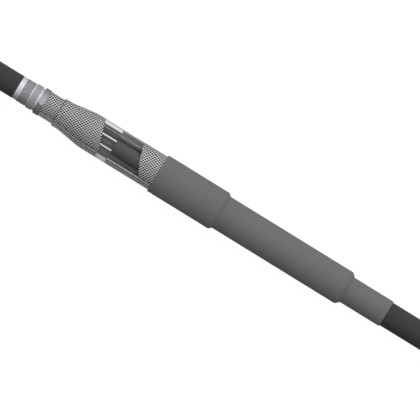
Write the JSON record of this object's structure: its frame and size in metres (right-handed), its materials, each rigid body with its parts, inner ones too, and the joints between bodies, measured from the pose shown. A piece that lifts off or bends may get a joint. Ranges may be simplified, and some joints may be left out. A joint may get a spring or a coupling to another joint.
{
  "type": "cable joint",
  "caption": "Straight joint between armoured power cables: stepped outer sleeve cut back from a woven copper mesh with a window, core spacers, sleeved bolted connectors, roll springs.",
  "frame": {"origin": "on the cable axis, half way between the two cable ends", "axes": "+X along the cable from the cut-back end to the covered end, +Z out through the middle of the window"},
  "size_m": [0.7126, 0.0568, 0.0568],
  "materials": {
    "oversheath": "smooth extruded cable oversheath, near black",
    "armour_tape": "galvanised steel tape, satin",
    "bedding": "extruded bedding, matte black",
    "filler_string": "fibrous filler string, off-white",
    "core_insulation": "extruded core insulation, black",
    "conductor": "stranded copper, bare",
    "bond_sleeve": "tinned sleeve, bright satin",
    "binding_wire": "galvanised binding wire, dull",
    "spring_strip": "rolled stainless spring strip, satin",
    "copper_mesh": "tinned copper wire, woven",
    "core_spacer": "moulded plastic, white",
    "inner_sleeve": "heat-shrink sleeve, black satin",
    "mastic": "sealing mastic, black",
    "connector": "tinned aluminium, turned",
    "shear_bolt": "bright bolt, machined",
    "outer_sleeve": "heat-shrink outer sleeve, mid grey matte"
  },
  "bodies": {
    "root": {"left_oversheath": "oversheath", "right_oversheath": "oversheath", "left_armour_tape": "armour_tape", "right_armour_tape": "armour_tape", "left_bedding": "bedding", "right_bedding": "bedding", "left_fillers": "filler_string", "right_fillers": "filler_string", "bond_sleeve": "bond_sleeve", "armour_binding": "binding_wire", "armour_spring": "spring_strip", "mesh_spring": "spring_strip", "right_mesh_spring": "spring_strip", "copper_mesh": "copper_mesh", "left_core_spacer": "core_spacer", "right_core_spacer": "core_spacer", "void_filler": "mastic", "outer_sleeve": "outer_sleeve", "left_insulation_front": "core_insulation", "left_conductor_front": "conductor", "right_insulation_front": "core_insulation", "right_conductor_front": "conductor", "connector_front": "connector", "shear_bolts_front": "shear_bolt", "inner_sleeve_front": "inner_sleeve", "sleeve_mastic_front": "mastic", "left_insulation_rear": "core_insulation", "left_conductor_rear": "conductor", "right_insulation_rear": "core_insulation", "right_conductor_rear": "conductor", "connector_rear": "connector", "shear_bolts_rear": "shear_bolt", "inner_sleeve_rear": "inner_sleeve", "sleeve_mastic_rear": "mastic", "left_insulation_upper": "core_insulation", "left_conductor_upper": "conductor", "right_insulation_upper": "core_insulation", "right_conductor_upper": "conductor", "connector_upper": "connector", "shear_bolts_upper": "shear_bolt", "inner_sleeve_upper": "inner_sleeve", "sleeve_mastic_upper": "mastic", "left_insulation_lower": "core_insulation", "left_conductor_lower": "conductor", "right_insulation_lower": "core_insulation", "right_conductor_lower": "conductor", "connector_lower": "connector", "shear_bolts_lower": "shear_bolt", "inner_sleeve_lower": "inner_sleeve", "sleeve_mastic_lower": "mastic"}
  },
  "joints": []
}
